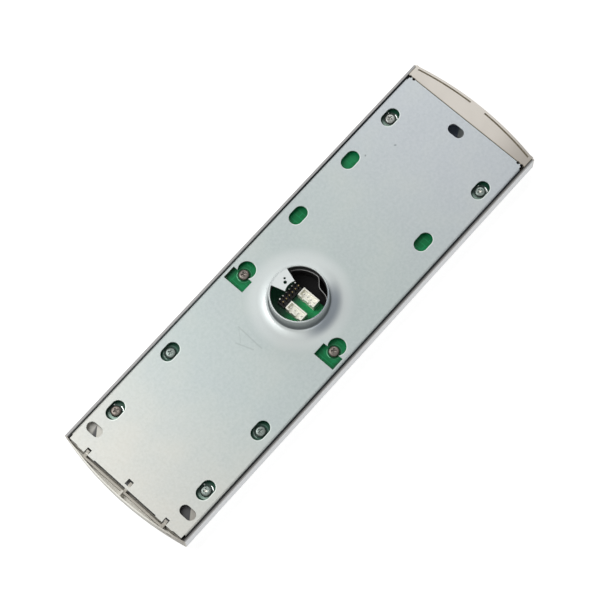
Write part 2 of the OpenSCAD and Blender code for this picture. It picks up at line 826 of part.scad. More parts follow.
module bus_header(z) {
    top_y = board_rear_y + bus_h;
    color("ivory") translate([bus_x, 0, z]) difference() {
        slab(board_rear_y, top_y) square([bus_l, bus_w], center = true);
        slab(top_y - bus_cavity, top_y + over)
            square([bus_l - 2 * bus_wall, bus_w - 2 * bus_wall], center = true);
        for (s = [-1, 1])
            slab(top_y - bus_cavity, top_y + over)
                translate([s * bus_pitch, -bus_w / 2]) square([2 * bus_wall, 3 * bus_wall], center = true);
        slab(board_rear_y - over, top_y) for (i = [0 : bus_pins_n - 1])
            translate([(i - (bus_pins_n - 1) / 2) * bus_pitch, 0])
                square(pin_w + front_fit / 2, center = true);
    }
}

module bus_header_upper() { bus_header(bus_up); }
module bus_header_lower() { bus_header(-bus_down); }

module bus_pins() {
    color("silver") slab(board_front_y - pin_tail, board_rear_y + bus_h - 2 * bus_wall)
        bus_places() square(pin_w, center = true);
}

module board_screws() {
    color("gray") for (s = [-1, 1]) for (z = concat([upper_screw_z], lower_screws)) turned(s * port_x, z) {
        ring_section(0, screw_d / 2, board_rear_y - screw_l, board_rear_y + head_h / 2);
        ring_section(0, head_d / 2, board_rear_y, board_rear_y + head_h / 2);
        intersection() {
            ring_section(0, head_d / 2, board_rear_y + head_h / 2 - over, board_rear_y + head_h);
            translate([0, board_rear_y + head_h - head_d]) circle(head_d);
        }
    }
}

// Call buttons
module led_places() {
    for (a = [45 : 90 : 315]) rotate(a) translate([led_r, 0]) children();
}

module call_leds() {
    color("white") slab(board_front_y - led_size[2], board_front_y)
        for (z = [-up_down, -down_down]) translate([0, z])
            led_places() square([led_size[1], led_size[0]], center = true);
}

module halo_ring(z) {
    color("whitesmoke") turned(0, z) {
        ring_section(halo_in, halo_out, front_y - halo_proud, halo_rear_y);
        ring_section(halo_in, halo_lip_r, wall_in_y, halo_rear_y);
    }
}

module guide_cup(z) {
    hole = switch_w / sqrt(2) + slide_gap;
    color("black") difference() {
        turned(0, z) {
            ring_section(hole, cup_out, cup_floor_y, board_front_y);
            ring_section(cup_in, cup_out, halo_rear_y, board_front_y);
        }
        slab(cup_floor_y - over, board_front_y + over) translate([0, z])
            led_places() square([led_size[1] + led_room, led_size[0] + led_room], center = true);
    }
}

module button_face(z) {
    rim_r = face_r - face_t;
    color("silver") turned(0, z) {
        polygon(concat([for (i = [0 : dish_steps]) let (q = i / dish_steps)
            [rim_r * q, face_front_y + dish * (1 - q * q)]],
            [[rim_r, face_back_y], [0, face_back_y]]));
        ring_section(rim_r, face_r, face_front_y, carrier_y);
    }
}

module button_carrier(z) {
    color("dimgray") turned(0, z) {
        ring_section(0, face_r - face_t, face_back_y, carrier_y);
        ring_section(face_r - carrier_wall, face_r, carrier_y, stop_y + stop_t);
        ring_section(face_r - carrier_wall, face_r - face_t, face_back_y, stop_y + stop_t);
        ring_section(face_r - carrier_wall, stop_r, stop_y, stop_y + stop_t);
        ring_section(0, stem_r, face_back_y, stem_y);
    }
}

// Round wire wound from y0 to y1
module coil(z, y0, y1) {
    steps = 14;
    sides = 6;
    rings = round(spring_turns * steps);
    points = [for (i = [0 : rings]) for (k = [0 : sides - 1])
        let (a = 360 * i / steps, b = 360 * k / sides, w = spring_wire / 2,
            y = y0 + w + (y1 - y0 - 2 * w) * i / rings, r = spring_r + w * cos(b))
        [r * cos(a), y + w * sin(b), r * sin(a)]];
    sleeve = [for (i = [0 : rings - 1]) for (k = [0 : sides - 1])
        let (n = (k + 1) % sides)
        [i * sides + k, i * sides + n, (i + 1) * sides + n, (i + 1) * sides + k]];
    first = [for (k = [sides - 1 : -1 : 0]) k];
    last = [for (k = [0 : sides - 1]) rings * sides + k];
    translate([0, 0, z]) polyhedron(points, concat(sleeve, [first, last]));
}

module return_spring(z) {
    color("silver") coil(z, carrier_y + end_gap, cup_floor_y - end_gap);
}

module switch_body(z) {
    color("black") difference() {
        slab(switch_y, board_front_y) translate([0, z]) square(switch_w, center = true);
        bar(0, z, switch_y - over, board_front_y - slide_gap, plunger_r + plunger_fit);
    }
}

module switch_plunger(z) {
    color("white") bar(0, z, plunger_y, board_front_y - slide_gap - front_fit - travel, plunger_r);
}

module up_halo_ring() { halo_ring(-up_down); }
module up_guide_cup() { guide_cup(-up_down); }
module up_button_face() { button_face(-up_down); }
module up_button_carrier() { button_carrier(-up_down); }
module up_return_spring() { return_spring(-up_down); }
module up_switch_body() { switch_body(-up_down); }
module up_switch_plunger() { switch_plunger(-up_down); }
module down_halo_ring() { halo_ring(-down_down); }
module down_guide_cup() { guide_cup(-down_down); }
module down_button_face() { button_face(-down_down); }
module down_button_carrier() { button_carrier(-down_down); }
module down_return_spring() { return_spring(-down_down); }
module down_switch_body() { switch_body(-down_down); }
module down_switch_plunger() { switch_plunger(-down_down); }

back_plate();
collar_liner();
cover_profile();
top_cap();
bottom_cap();
front_inlay();
display_window();
display_board();
led_module_left();
led_module_right();
driver_chips();
light_baffle();
button_board();
controller_chip();
link_header();
link_pins();
bus_header_upper();
bus_header_lower();
bus_pins();
board_screws();
call_leds();
up_halo_ring();
up_guide_cup();
up_button_face();
up_button_carrier();
up_return_spring();
up_switch_body();
up_switch_plunger();
down_halo_ring();
down_guide_cup();
down_button_face();
down_button_carrier();
down_return_spring();
down_switch_body();
down_switch_plunger();
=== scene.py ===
import bmesh
import bpy
import numpy as np
from mathutils import Matrix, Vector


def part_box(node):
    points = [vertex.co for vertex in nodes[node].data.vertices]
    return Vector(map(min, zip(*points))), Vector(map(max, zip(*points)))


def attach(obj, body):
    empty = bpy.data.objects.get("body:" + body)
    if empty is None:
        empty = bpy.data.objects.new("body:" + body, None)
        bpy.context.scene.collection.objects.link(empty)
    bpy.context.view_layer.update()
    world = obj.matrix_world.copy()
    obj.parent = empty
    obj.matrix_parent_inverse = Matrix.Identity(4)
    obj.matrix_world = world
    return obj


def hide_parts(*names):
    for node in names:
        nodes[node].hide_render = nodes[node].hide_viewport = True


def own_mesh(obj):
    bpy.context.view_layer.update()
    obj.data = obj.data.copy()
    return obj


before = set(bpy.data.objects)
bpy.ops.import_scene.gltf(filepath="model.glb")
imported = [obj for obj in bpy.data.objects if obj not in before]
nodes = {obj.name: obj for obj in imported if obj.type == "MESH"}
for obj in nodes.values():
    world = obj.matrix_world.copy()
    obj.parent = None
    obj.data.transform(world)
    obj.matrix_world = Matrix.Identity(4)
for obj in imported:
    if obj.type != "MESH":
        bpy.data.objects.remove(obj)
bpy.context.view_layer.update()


# Wall plate.
# Hot-dip galvanised sheet, bent to a shallow tray and drawn up into the collar in one piece.
# The zinc is dull, mottled and scuffed by handling, and the collar's inner wall is painted near black.
class Wire:
    """A shader socket. Sums of wires and numbers add Math nodes; add() makes any other node."""

    def __init__(self, socket):
        self.socket = socket

    def add(self, kind, settings=None, sockets=None, out=0):
        tree = self.socket.id_data
        node = tree.nodes.new("ShaderNode" + kind)
        for key, value in (settings or {}).items():
            setattr(node, key, value)
        for key, value in (sockets or {}).items():
            if isinstance(value, Wire):
                tree.links.new(value.socket, node.inputs[key])
            else:
                node.inputs[key].default_value = value
        return Wire(node.outputs[out])

    def math(self, operation, *values):
        return self.add("Math", {"operation": operation}, dict(enumerate(values)))

    def __add__(self, other):
        return self.math("ADD", self, other)

    def __sub__(self, other):
        return self.math("SUBTRACT", self, other)

    def __rsub__(self, other):
        return self.math("SUBTRACT", other, self)

    def __mul__(self, other):
        return self.math("MULTIPLY", self, other)

    def __truediv__(self, other):
        return self.math("DIVIDE", self, other)

    def __pow__(self, other):
        return self.math("POWER", self, other)

    def __abs__(self):
        return self.math("ABSOLUTE", self)

    __radd__, __rmul__ = __add__, __mul__

    def step(self, low, high):
        """0 at low, 1 at high, smooth between; low may be the larger."""
        return self.add("MapRange", {"interpolation_type": "SMOOTHSTEP"},
                        {"Value": self, "From Min": low, "From Max": high})

    def least(self, other):
        return self.math("MINIMUM", self, other)

    def most(self, other):
        return self.math("MAXIMUM", self, other)

    def paint(self, under, over):
        """The colour under where this wire is 0 and over where it is 1."""
        return self.add("Mix", {"data_type": "RGBA"}, {0: self, 6: under, 7: over}, out=2)

    def axes(self):
        first = self.add("SeparateXYZ", sockets={0: self})
        return [Wire(socket) for socket in first.socket.node.outputs]

    def grain(self, scale, detail, turn=(0.0, 0.0, 0.0)):
        """Noise with that many grains a metre along X, Y and Z, after a turn in radians."""
        laid = self.add("Mapping", sockets={"Vector": self, "Rotation": turn, "Scale": scale})
        return self.add("TexNoise", sockets={"Vector": laid, "Scale": 1.0, "Detail": detail})


def tone(red, green, blue):
    """A screen colour from 0 to 255 as the shader's linear colour."""
    c = np.array([red, green, blue]) / 255
    linear = np.where(c <= 0.04045, c / 12.92, ((c + 0.055) / 1.055) ** 2.4)
    return (*linear.tolist(), 1.0)


def new_finish(name, **constants):
    """A material, its shader with these constants, and its Object coordinates."""
    finish = bpy.data.materials.new(name)
    finish.use_nodes = True
    shader = finish.node_tree.nodes["Principled BSDF"]
    for key, value in constants.items():
        shader.inputs[key.replace("_", " ")].default_value = value
    place = Wire(finish.node_tree.nodes.new("ShaderNodeTexCoord").outputs["Object"])
    return finish, shader, place


def lay(shader, height=None, **wires):
    """Links wires to the shader's sockets, and a height in metres to its normal."""
    if height:
        wires["Normal"] = height.add("Bump", sockets={"Height": height, "Distance": 1.0})
    for key, wire in wires.items():
        wire.socket.id_data.links.new(wire.socket, shader.inputs[key.replace("_", " ")])


def dress(finish, *names):
    for name in names:
        nodes[name].material_slots[0].material = finish


def away(x, z, start, end):
    """The distance to the nearest point of the line from start to end."""
    run = np.subtract(end, start)
    share = ((x - start[0]) * run[0] + (z - start[1]) * run[1]) / float(run @ run)
    share = share.most(0.0).least(1.0)
    off_x = x - start[0] - share * run[0]
    off_z = z - start[1] - share * run[1]
    return (off_x * off_x + off_z * off_z) ** 0.5


def scratch(x, z, start, end, width):
    """1 on the line from start to end, fading to 0 at width."""
    return away(x, z, start, end).step(width, 0.0)


zinc, shader, place = new_finish("zinc")
x, y, z = place.axes()
reach = (x * x + z * z) ** 0.5
cloud = place.grain((38, 38, 38), 4.0)
spangle = place.grain((900, 900, 900), 2.0)
mottle = place.grain((520, 520, 520), 3.0)
rub = place.grain((30, 30, 2600), 1.0, (0.0, 0.5, 0.0)).step(0.66, 0.74) * cloud.step(0.45, 0.65)
zinc_blue, zinc_green, zinc_warm = tone(177, 183, 187), tone(173, 183, 181), tone(189, 189, 182)
zinc_bare, zinc_dull = tone(222, 224, 224), tone(140, 147, 152)

# The tab is bright bare zinc. A painted glow brightens the plate round the collar's foot, and the collar's
# wall is painted grey, darker towards the foot, as painted shade.
collar_in, collar_out, collar_top, foot_r = 0.0160, 0.0170, 0.0120, 0.0240
rim = y.step(collar_top - 0.00035, collar_top - 0.00005)
drawn = reach.step(collar_out + 0.0010, collar_out + 0.0006) * y.step(0.0001, 0.0003) * (1 - rim)
foot = reach.step(foot_r, 0.0195) * (1 - drawn) * y.step(0.0080, 0.0040)
dark_collar_inside = reach.step(collar_in + 0.0003, collar_in + 0.0001) * y.step(collar_top - 0.0011, collar_top - 0.0014)
tab = reach.step(collar_in - 0.0001, collar_in - 0.0004) * y.step(collar_top - 0.0015, collar_top - 0.0010)
foot_glow_and_bare_tab = (reach.step(foot_r + 0.010, foot_r) * 0.4).most(tab * 0.6)
wall_shade = y.step(0.001, 0.011).paint(tone(88, 94, 95), tone(146, 152, 150))
swell_run, swell_rise = 0.007, 0.0011
swell = ((foot_r - reach.most(collar_out + 0.0002)).most(0.0) / swell_run) ** 2 * swell_rise

# Handling left scuffs below the collar and two dark spots near the top. A painted shadow darkens the plate
# beside the collar's foot on one side.
scuffs = scratch(x, z, (0.0150, -0.0342), (-0.0031, -0.0349), 0.0007)
scuffs = scuffs.most(scratch(x, z, (0.0097, -0.0421), (-0.0001, -0.0385), 0.0007))
scuffs = scuffs.most(scratch(x, z, (0.0140, -0.0350), (0.0079, -0.0401), 0.0006) * 0.5)
spots = scratch(x, z, (0.0203, 0.1054), (0.0206, 0.1050), 0.0009)
spots = spots.most(scratch(x, z, (0.0290, 0.0890), (0.0292, 0.0893), 0.0008))
collar_shadow_x, collar_shadow_z = -0.956, 0.292
collar_shadow = reach.step(0.0255, 0.0205) * ((x * collar_shadow_x + z * collar_shadow_z) / reach).step(0.45, 0.95)

# A painted highlight runs along one side of the windows and keyholes, where their punched edges catch the
# light.
screw_x, screw_zs = 0.0339, (0.1163, -0.0092, -0.0700, -0.1144)
window_half, window_highlight_r, key_z, key_half, key_highlight_r = 0.00205, 0.0043, -0.0065, 0.0001, 0.0054
windows = [(side * screw_x, height) for side in (-1, 1) for height in screw_zs[:1] + screw_zs[2:]]
windows += [(screw_x, 0.0815), (screw_x, 0.0369), (-0.0297, 0.0715)]
punched = [(across, height, window_half, window_highlight_r) for across, height in windows]
punched += [(side * screw_x, key_z, key_half, key_highlight_r) for side in (-1, 1)]
edge_highlight = x * 0.0
for across, height, half, radius in punched:
    near = away(x, z, (across, height - half), (across, height + half)).step(radius + 0.0005, radius)
    edge_highlight = edge_highlight.most(near * (x - across).step(0.001, -0.003))

colour = (z.step(0.13, 0.03) + cloud * 0.8 - 0.4).paint(zinc_blue, zinc_green)
colour = (z.step(-0.05, -0.15) + cloud * 0.8 - 0.4).paint(colour, zinc_warm)
colour = ((cloud * 0.5 + spangle * 0.5).step(0.62, 0.32) * 0.15).paint(colour, zinc_dull)
colour = (mottle.step(0.3, 0.7) * 0.11).most(foot_glow_and_bare_tab).most(rub * 0.15).paint(colour, zinc_bare)
colour = (spots * 0.8).most(scuffs * 0.28).paint(colour, tone(112, 120, 120))
colour = (collar_shadow * 0.75).paint(colour, tone(118, 127, 138))
colour = (edge_highlight * 0.5).paint(colour, tone(238, 248, 241))
# The collar's wall takes its painted shade, and its inner wall is painted near black.
colour = dark_collar_inside.paint((drawn * 0.95).paint(colour, wall_shade), tone(34, 34, 36))
lay(shader, Base_Color=colour, Metallic=0.35 + foot * 0.15,
    Roughness=0.46 + cloud * 0.08 - rub * 0.12 - foot * 0.1,
    height=spangle * 0.000010 + cloud * 0.00003 + swell)
dress(zinc, "back_plate")


# Collar liner.
# Black insulating film pushed into the upper half of the collar, one end standing loose.
# It shows faint waves, and its cut edge is painted pale as a painted highlight.
film, shader, place = new_finish("liner_film")
wave = place.grain((160, 30, 160), 2.0)
liner_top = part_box("collar_liner")[1].y
lit_top = place.axes()[1].step(liner_top - 0.0003, liner_top - 0.0001)
lay(shader, Base_Color=(lit_top * 0.6).paint(tone(15, 15, 16), tone(205, 206, 204)),
    Roughness=0.42 + wave * 0.2, Coat_Weight=wave.step(0.4, 0.9) * 0.1, height=wave * 0.00008)
dress(film, "collar_liner")


# Cover profile.
# Extruded aluminium, satin anodised, with fine die lines along it and rear edges in a darker grey.
# Inside it is painted dark as painted shade, and behind the wall plate's top slot its front wall carries a
# painted shadow in two greys.
anodised, shader, place = new_finish("cover_anodised", Metallic=0.35)
x, y, z = place.axes()
rear_y, floor_y, wall_in, wall_out, slot_z = -0.0003, -0.0120, 0.04365, 0.0450, 0.1390
die = place.grain((2600, 2600, 9), 2.0)
haze = place.grain((45, 45, 45), 3.0)
colour = (die * 0.7 + haze * 0.3).step(0.3, 0.7).paint(tone(184, 186, 188), tone(200, 201, 202))

# A painted shade darkens the inner half of the rear edge at -X along the seam, and the wall at +X is left
# out of the painted dark inside towards its low end, as painted light.
rear_edge = y.step(rear_y - 0.0003, rear_y - 0.0001)
seam_shade = rear_edge * x.step(0.0003 - wall_out, 0.0009 - wall_out) * x.step(0.0, -0.04)
colour = seam_shade.paint(rear_edge.paint(colour, tone(158, 157, 156)), tone(84, 84, 82))
# The inside is painted dark as painted shade, except the wall at +X towards its low end.
inside = abs(x).step(wall_in + 0.0001, wall_in) * y.step(floor_y + 0.0001, floor_y + 0.0003)
lit_low_wall = x.step(0.0428, 0.0432) * y.step(-0.0050, -0.0030) * z.step(0.09, -0.05)
colour = (inside * 0.85 * (1 - lit_low_wall)).paint(colour, tone(70, 73, 78))

# Behind the top slot the front wall's inner face is painted pale on one side of a slanting edge and
# blue-grey on the other: a painted shadow edge.
behind_slot = abs(z - slot_z).step(0.0060, 0.0058) * abs(x).step(0.0082, 0.0080)
behind_slot = behind_slot * abs(y - floor_y).step(0.0002, 0.0001)
split_x, split_z, split_at = -0.8803, 0.4745, 0.0648
split = (x * split_x + z * split_z).step(split_at + 0.0003, split_at)
slot_shade = split.paint(tone(222, 228, 228), tone(152, 166, 188))
lay(shader, Base_Color=behind_slot.paint(colour, slot_shade),
    Roughness=0.54 + haze * 0.12 + die * 0.08, height=die * 0.000004)
dress(anodised, "cover_profile")


# End caps.
# Injection-moulded in a warm grey, finely spark-eroded outside, snapped into the profile's ends.
# They are soiled in patches, the side at -X is painted darker as painted shade, the low cap is painted paler
# as painted light, and their slits and hollows are painted in other greys.
cap, shader, place = new_finish("cap_plastic")
x, y, z = place.axes()
skin = place.grain((2600, 2600, 2600), 2.0)
soil = place.grain((40, 40, 40), 3.0)
# The low cap is painted paler than the top cap as painted light; the side at -X is painted darker as painted
# shade over the patchy soil.
colour = z.step(-0.1, 0.1).paint(tone(240, 238, 228), tone(218, 212, 203))
soil_and_side_shade = (soil.step(0.45, 0.8) * 0.2).most(x.step(-0.012, -0.044) * 0.7)
colour = soil_and_side_shade.paint(colour, tone(152, 145, 136))

# Top cap: two slits along its arched end, and the joints with the profile and the wall plate.
arch_z, slit_r = -0.0443, 0.19815
arch = (x * x + (z - arch_z) * (z - arch_z)) ** 0.5
slit = abs(arch - slit_r).step(0.0006, 0.0005) * y.step(-0.0004, -0.0006) * y.step(-0.0020, -0.0016)
joint = abs(x).step(0.0430, 0.0434).most(z.step(0.1442, 0.1438))
joint = joint * z.step(0.1501, 0.1499) * z.step(0.13, 0.14)
colour = slit.most(joint * 0.8).paint(colour, tone(158, 149, 130))

# Low cap: the trough inside its bowed end, the gutter and ledge in it, and the arms' tips.
# The trough's deep floor is painted pale as painted light and its upper part a darker grey; the gutter and
# the ledge's face are painted dark as painted shade.
bowl_z, bowl_r, plate_end, ledge_z = 0.0514, 0.1991, -0.1430, -0.1455
bowl = (x * x + (z - bowl_z) * (z - bowl_z)) ** 0.5
trough = bowl.step(bowl_r + 0.0002, bowl_r) * z.step(plate_end + 0.0002, plate_end)
trough = trough * y.step(-0.0004, -0.0012) * y.step(-0.0062, -0.0058)
colour = trough.paint(colour, y.step(-0.0035, -0.0018).paint(tone(246, 243, 233), tone(178, 173, 162)))
gutter = trough * z.step(plate_end - 0.0012, plate_end - 0.0008) * y.step(-0.0030, -0.0040)
colour = gutter.paint(colour, tone(140, 135, 123))
ledge_face = abs(z - ledge_z).step(0.00040, 0.00018) * y.step(-0.0014, -0.0016) * y.step(-0.0050, -0.0048)
colour = ledge_face.paint(colour, tone(92, 88, 76))
tips = z.step(-0.1446, -0.1440) * z.step(-0.11, -0.12) * y.step(-0.0012, -0.0008)
colour = (tips * 0.8).paint(colour, tone(160, 155, 146))

# The pads behind the two lower wall slots carry painted shadows: dark on one side of a slanting line, with a
# painted wedge of shade on one of them.
pad = z.step(plate_end, plate_end + 0.0005) * z.step(-0.1230, -0.1240)
pad = pad * y.step(-0.0062, -0.0058) * y.step(-0.0020, -0.0028)
slant, fall = x * 0.80 - z * 0.60, x * -0.60 - z * 0.80
plus_line, minus_line, wedge_slope, wedge_start = 0.10523, 0.04892, 0.674, 0.0534
past_plus, past_minus = slant - plus_line, slant - minus_line
shadow_wedge = (past_plus / (fall * wedge_slope - wedge_start).most(0.0002)).step(1.0, 0.3)
plus_shadow = past_plus.step(-0.0002, 0.0002) * (0.4 + shadow_wedge * 0.55) * x.step(0.02, 0.03)
minus_shadow = past_minus.step(-0.0002, 0.0002) * 0.95 * x.step(-0.02, -0.03)
colour = (pad * plus_shadow.most(minus_shadow).most(0.1)).paint(colour, tone(48, 50, 55))
lay(shader, Base_Color=colour, Roughness=0.45 + soil * 0.14 + skin * 0.08, height=skin * 0.000012)
dress(cap, "top_cap", "bottom_cap")


# Front inlay.
# Brushed stainless sheet bonded into the profile's front, the grain running up the panel.
def dimmed(colour, share):
    """The colour at that share of its strength."""
    return tuple(c * share for c in colour[:3]) + (1.0,)


brushed, shader, place = new_finish("inlay_steel", Metallic=1.0, Anisotropic=0.5)
inlay_grey = tone(174, 176, 177)
line = place.grain((5200, 5200, 14), 2.0)
haze = place.grain((45, 45, 45), 3.0)
shade = (line * 0.7 + haze * 0.3).step(0.3, 0.7)
lay(shader, Base_Color=shade.paint(dimmed(inlay_grey, 0.86), inlay_grey),
    Roughness=0.30 + haze * 0.12 + line * 0.08, height=line * 0.000004)
dress(brushed, "front_inlay")


# Display window.
# Smoked acrylic with a flange behind the front wall, polished in front.
smoked, shader, place = new_finish("smoked_acrylic", Base_Color=tone(26, 24, 25), Alpha=0.66,
                                   Coat_Weight=0.15, Coat_Roughness=0.03)
haze = place.grain((30, 30, 30), 3.0)
lay(shader, Roughness=0.05 + haze * 0.06)
dress(smoked, "display_window")


# Circuit boards.
# Glass laminate under green solder mask, with copper runs showing paler through the mask, darker
# round most of the screws. They lie on the screw ports behind the wall plate.
mask_green, shader, place = new_finish("board_green", Coat_Weight=0.05, Coat_Roughness=0.15,
                                       Specular_IOR_Level=0.15)
x, y, z = place.axes()
flat = x.add("CombineXYZ", sockets={0: x, 1: z})
run_width, run_length, run_pitch = 0.00022, 0.0093, 0.0031
runs = flat.add("TexBrick", {"offset": 0.37}, {
    "Vector": flat, "Scale": 1.0, "Mortar Size": run_width, "Mortar Smooth": 0.3,
    "Brick Width": run_length, "Row Height": run_pitch}, out="Fac")
pour = flat.grain((62, 62, 62), 1.0).step(0.50, 0.53)
weave = flat.grain((1500, 1500, 1500), 1.0)
copper = (runs * 0.8).most(pour * 0.45)
green = copper.paint(tone(8, 114, 64), tone(20, 142, 86))

# In the collar's mouth one side is painted lit and the other dull, and beside the plate's edge it is painted
# dark: painted light and shade.
in_collar = (x * x + z * z).step(0.00030, 0.00024)
green = (in_collar * 0.8).paint(green, x.step(0.004, -0.004).paint(tone(50, 84, 70), tone(40, 170, 100)))
# Round most of the screws the board is painted a darker, duller green.
off_x = abs(x) - screw_x
off_z = abs(z - screw_zs[0]).least(abs(z - screw_zs[2])).least(abs(z - screw_zs[3]))
dim_round_screws = (off_x * off_x + off_z * off_z * 0.5) ** 0.5
green = (dim_round_screws.step(0.0078, 0.0070) * 0.9).paint(green, tone(30, 70, 56))
green = (abs(x).step(0.0375, 0.0405) * 0.6).paint(green, tone(10, 44, 32))
# The laminate's edge is painted dark olive as painted shade.
edge = abs(x).step(0.04095, 0.04105)
lay(shader, Base_Color=edge.paint(green, tone(96, 100, 66)),
    Roughness=0.30 + weave * 0.15 + edge * 0.3, height=weave * 0.000006 + copper * 0.00003)
dress(mask_green, "display_board", "button_board")


# Dot display.
# Two grey-faced modules of five by seven dots on the display board, each dot a milky lens.
def surface(name, points, finish):
    """A mesh from one or more grids of points, shaped (copies, rows, columns, 3): each
    square of four neighbours is a face, and the columns run round to the first."""
    points = np.asarray(points, float)
    copies, rows, columns = points.shape[:3]
    row, column = np.meshgrid(np.arange(rows - 1), np.arange(columns), indexing="ij")
    after = (column + 1) % columns
    quad = np.stack([row * columns + column, row * columns + after,
                     (row + 1) * columns + after, (row + 1) * columns + column], -1).reshape(-1, 4)
    quads = (quad[None] + (np.arange(copies) * rows * columns)[:, None, None]).reshape(-1, 4)
    mesh = bpy.data.meshes.new(name)
    mesh.from_pydata(points.reshape(-1, 3), [], quads.tolist())
    shell = bmesh.new()
    shell.from_mesh(mesh)
    bmesh.ops.remove_doubles(shell, verts=shell.verts, dist=1e-7)
    bmesh.ops.recalc_face_normals(shell, faces=shell.faces)
    shell.to_mesh(mesh)
    shell.free()
    mesh.polygons.foreach_set("use_smooth", np.ones(len(mesh.polygons), bool))
    mesh.set_sharp_from_angle(angle=0.7)
    mesh.materials.append(finish)
    piece = bpy.data.objects.new(name, mesh)
    bpy.context.scene.collection.objects.link(piece)
    return piece


def lathe(profile, turns, places):
    """Profile points (radius, y) turned round Y in that many steps, one copy at each (x, z)."""
    profile, places = np.asarray(profile, float), np.asarray(places, float)
    angle = np.linspace(0, 2 * np.pi, turns, endpoint=False)
    grid = np.empty((len(places), len(profile), turns, 3))
    grid[..., 0] = places[:, 0, None, None] + profile[:, 0, None] * np.cos(angle)
    grid[..., 1] = profile[:, 1, None]
    grid[..., 2] = places[:, 1, None, None] + profile[:, 0, None] * np.sin(angle)
    return grid


def moulded(name, colour, rough=0.45, texture=2600, depth=0.000012, soiled=0.12, **constants):
    """Moulded plastic: fine texture in the height, slow soiling in colour and gloss."""
    finish, shader, place = new_finish(name, **constants)
    skin = place.grain((texture, texture, texture), 2.0)
    soil = place.grain((55, 55, 55), 4.0)
    lay(shader, Base_Color=soil.step(0.72, 0.35).paint(dimmed(colour, 1 - 2 * soiled), colour),
        Roughness=rough + soil * 0.14 + skin * 0.08, height=skin * depth)
    return finish


dress(moulded("led_module", tone(52, 53, 55), 0.5), "led_module_left", "led_module_right")
dot_r, dot_pitch, dot_rise, dot_y = 0.00142, 0.0048, 0.0003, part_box("led_module_left")[0].y + 0.0004
dot_places = [((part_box(side)[0].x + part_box(side)[1].x) / 2 + (i - 2) * dot_pitch,
               (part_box(side)[0].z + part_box(side)[1].z) / 2 + (j - 3) * dot_pitch)
              for side in ("led_module_left", "led_module_right") for i in range(5) for j in range(7)]
bow = np.linspace(0, np.pi / 2, 5)
dot_profile = np.stack([dot_r * np.sin(bow), dot_y - dot_rise * np.cos(bow)], 1)
dot_profile = np.vstack([dot_profile, [[dot_r, dot_y], [0, dot_y]]])
lens = moulded("dot_lens", tone(214, 196, 186), 0.25, 900, 0.000004, Subsurface_Weight=0.2)
dots = surface("display_dots", lathe(dot_profile, 14, dot_places), lens)
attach(dots, "panel")


# Chips.
# Black epoxy packages soldered to the front of the boards, with a matt moulded top.
dress(moulded("chip_epoxy", tone(34, 34, 35), 0.55, 4200, 0.00001), "driver_chips", "controller_chip")


# Light baffle.
# Black moulding between the two boards that keeps the display's light off the buttons.
# The guide cups of the call buttons are of the same plastic.
dress(moulded("baffle_black", tone(11, 11, 12), 0.5, Specular_IOR_Level=0.18),
      "light_baffle", "up_guide_cup", "down_guide_cup")


# Connectors.
# A black pin block with two columns of pins, one tinned and one brass, bright at the tips with their shafts
# painted dark as painted shade, and two cream headers of four tinned pins each, all on the button board
# inside the collar.
def plated(name, colour, rough=0.22, tarnish=0.25):
    """Plated metal: slow tarnish in colour and gloss, a fine drawn skin in the height."""
    finish, shader, place = new_finish(name, Metallic=1.0)
    stain = place.grain((420, 420, 420), 3.0)
    skin = place.grain((5200, 900, 5200), 1.0)
    lay(shader, Base_Color=stain.step(0.65, 0.35).paint(dimmed(colour, 1 - tarnish), colour),
        Roughness=rough + stain * 0.2, height=skin * 0.000003)
    return finish


dress(moulded("header_black", tone(26, 26, 27), 0.38), "link_header")
dress(moulded("header_white", tone(254, 253, 240), 0.35, soiled=0.02, Specular_IOR_Level=1.0,
              Coat_Weight=0.5, Coat_Roughness=0.2),
      "bus_header_upper", "bus_header_lower")
dress(plated("pin_tin", tone(222, 222, 218)), "bus_pins")
brass, shader, place = new_finish("pin_brass", Metallic=1.0)
x, y, z = place.axes()
link_x = sum(corner.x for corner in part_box("link_pins")) / 2
link_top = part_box("link_pins")[1].y
stain = place.grain((600, 600, 600), 2.0)
metal = x.step(link_x - 0.0002, link_x + 0.0002).paint(tone(150, 134, 96), tone(226, 226, 222))
# Below their bright tips the pins' shafts are painted dark brown as painted shade.
lit_top = y.step(link_top - 0.0011, link_top - 0.0005)
lay(shader, Base_Color=(lit_top * (1 - stain.step(0.5, 0.75) * 0.3)).paint(tone(58, 48, 34), metal),
    Roughness=0.2 + stain * 0.2)
dress(brass, "link_pins")


# Board screws.
# Pan-head thread-forming screws of plain steel with a cross recess, driven through the boards
# into the screw ports, some of them tarnished green, two with a painted highlight in the recess.
seat_y, head_r, head_h, neck_r = -0.0036, 0.0032, 0.0020, 0.0012
thread_pitch, thread_depth, recess_depth, recess_slope = 0.0008, 0.00010, 0.0011, 0.35
tip_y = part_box("board_screws")[0].y
screw_places = [(side * screw_x, height) for side in (-1, 1) for height in screw_zs]


